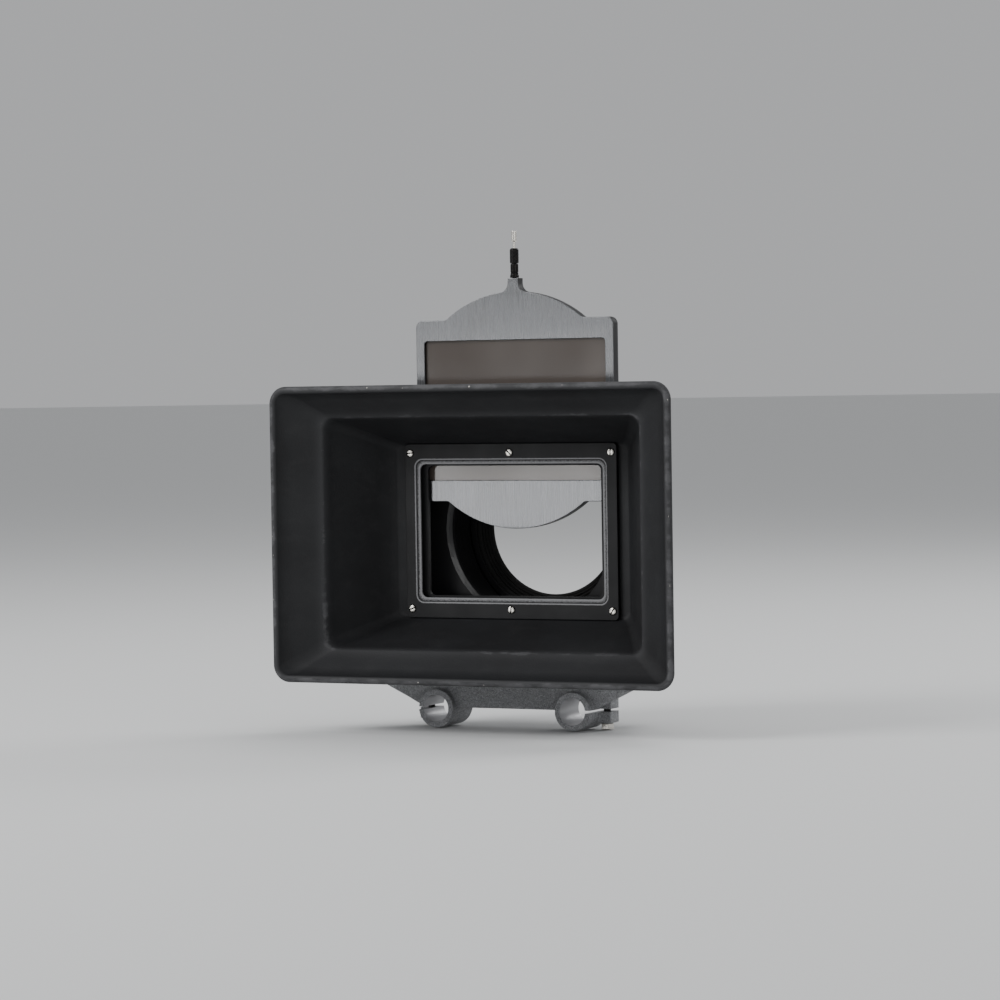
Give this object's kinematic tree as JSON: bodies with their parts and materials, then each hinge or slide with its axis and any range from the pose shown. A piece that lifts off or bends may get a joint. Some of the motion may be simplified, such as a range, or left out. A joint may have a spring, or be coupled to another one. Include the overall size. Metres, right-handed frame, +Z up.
{
  "type": "lens hood",
  "caption": "Moulded rectangular lens hood on a filter stage with a raised sliding filter tray, a round lens port behind and a cast bracket that clamps on a pair of support rods.",
  "frame": {"origin": "midway between the two rod bores' axes, on the front faces of the rod clamps", "axes": "+Z up, +Y to the rear towards the lens, +X to the right seen from the front of the mouth; the hood's mouth faces -Y and the lens axis runs along Y, 122.3 mm above the origin"},
  "size_m": [0.3008, 0.1456, 0.3431],
  "materials": {
    "hood_plastic": "black textured moulding, matt, with a worn lip",
    "black_anodised": "satin black anodised, worn bright along the aperture's edges",
    "brushed_aluminium": "clear anodised, fine upright brushing",
    "crinkle_paint": "grey crinkle paint on a casting",
    "nickel_plate": "bright nickel plate",
    "black_steel": "black oxide",
    "filter_glass": "polished neutral-density filter glass",
    "rubber": "matt black rubber",
    "nylon": "natural nylon"
  },
  "bodies": {
    "root": {"hood_shell": "hood_plastic", "clamp_frame": "black_anodised", "frame_screw_1": "nickel_plate", "frame_screw_2": "nickel_plate", "frame_screw_3": "nickel_plate", "frame_screw_4": "nickel_plate", "frame_screw_5": "nickel_plate", "frame_screw_6": "nickel_plate", "stage_front_plate": "black_anodised", "stage_rear_plate": "black_anodised", "guide_rail_left": "black_anodised", "guide_rail_right": "black_anodised", "stage_floor": "black_anodised", "tie_bolt_1": "black_steel", "tie_bolt_2": "black_steel", "tie_bolt_3": "black_steel", "tie_bolt_4": "black_steel", "tie_bolt_5": "black_steel", "tie_bolt_6": "black_steel", "lens_port": "black_anodised", "ring_seal": "rubber", "seal_ring": "black_anodised", "port_screw_1": "black_steel", "port_screw_2": "black_steel", "port_screw_3": "black_steel", "port_screw_4": "black_steel", "bracket_casting": "crinkle_paint", "clamp_nut_left": "nickel_plate", "clamp_nut_right": "nickel_plate", "bracket_screw_1": "black_steel", "bracket_screw_2": "black_steel", "bracket_screw_3": "black_steel", "bracket_screw_4": "black_steel"},
    "filter_tray": {"tray_front_frame": "brushed_aluminium", "tray_back_frame": "brushed_aluminium", "filter_glass": "filter_glass", "tray_screw_1": "nickel_plate", "tray_screw_2": "nickel_plate", "tray_screw_3": "nickel_plate", "tray_screw_4": "nickel_plate", "tray_screw_5": "nickel_plate", "tray_screw_6": "nickel_plate", "post_stud": "black_steel"},
    "collet_nut": {"collet_nut": "black_steel"},
    "lift_pin": {"lift_pin": "nickel_plate"},
    "brake_front": {"brake_knob_front": "black_anodised", "brake_tip_front": "nylon"},
    "brake_rear": {"brake_knob_rear": "black_anodised", "brake_tip_rear": "nylon"},
    "clamp_lever_left": {"clamp_lever_left": "black_steel"},
    "clamp_lever_right": {"clamp_lever_right": "black_steel"}
  },
  "joints": [
    {"name": "tray_slide", "type": "slide", "parent": "root", "child": "filter_tray", "axis": [0, 0, 1], "range_m": [-0.08345, 0.03]},
    {"name": "collet_turn", "type": "hinge", "parent": "filter_tray", "child": "collet_nut", "pos_m": [0, 0.0279, 0.3089], "axis": [0, 0, 1], "range_deg": [0, 180]},
    {"name": "pin_slide", "type": "slide", "parent": "filter_tray", "child": "lift_pin", "axis": [0, 0, 1], "range_m": [-0.004, 0]},
    {"name": "brake_front_turn", "type": "hinge", "parent": "root", "child": "brake_front", "pos_m": [0.088, 0.0288, 0.1673], "axis": [1, 0, 0], "range_deg": [0, 270]},
    {"name": "brake_rear_turn", "type": "hinge", "parent": "root", "child": "brake_rear", "pos_m": [0.088, 0.0396, 0.1443], "axis": [1, 0, 0], "range_deg": [0, 270]},
    {"name": "clamp_left_turn", "type": "hinge", "parent": "root", "child": "clamp_lever_left", "pos_m": [-0.0675, 0.024, 0], "axis": [0, 0, 1], "range_deg": [0, 90]},
    {"name": "clamp_right_turn", "type": "hinge", "parent": "root", "child": "clamp_lever_right", "pos_m": [0.0675, 0.024, 0], "axis": [0, 0, -1], "range_deg": [0, 90]}
  ]
}
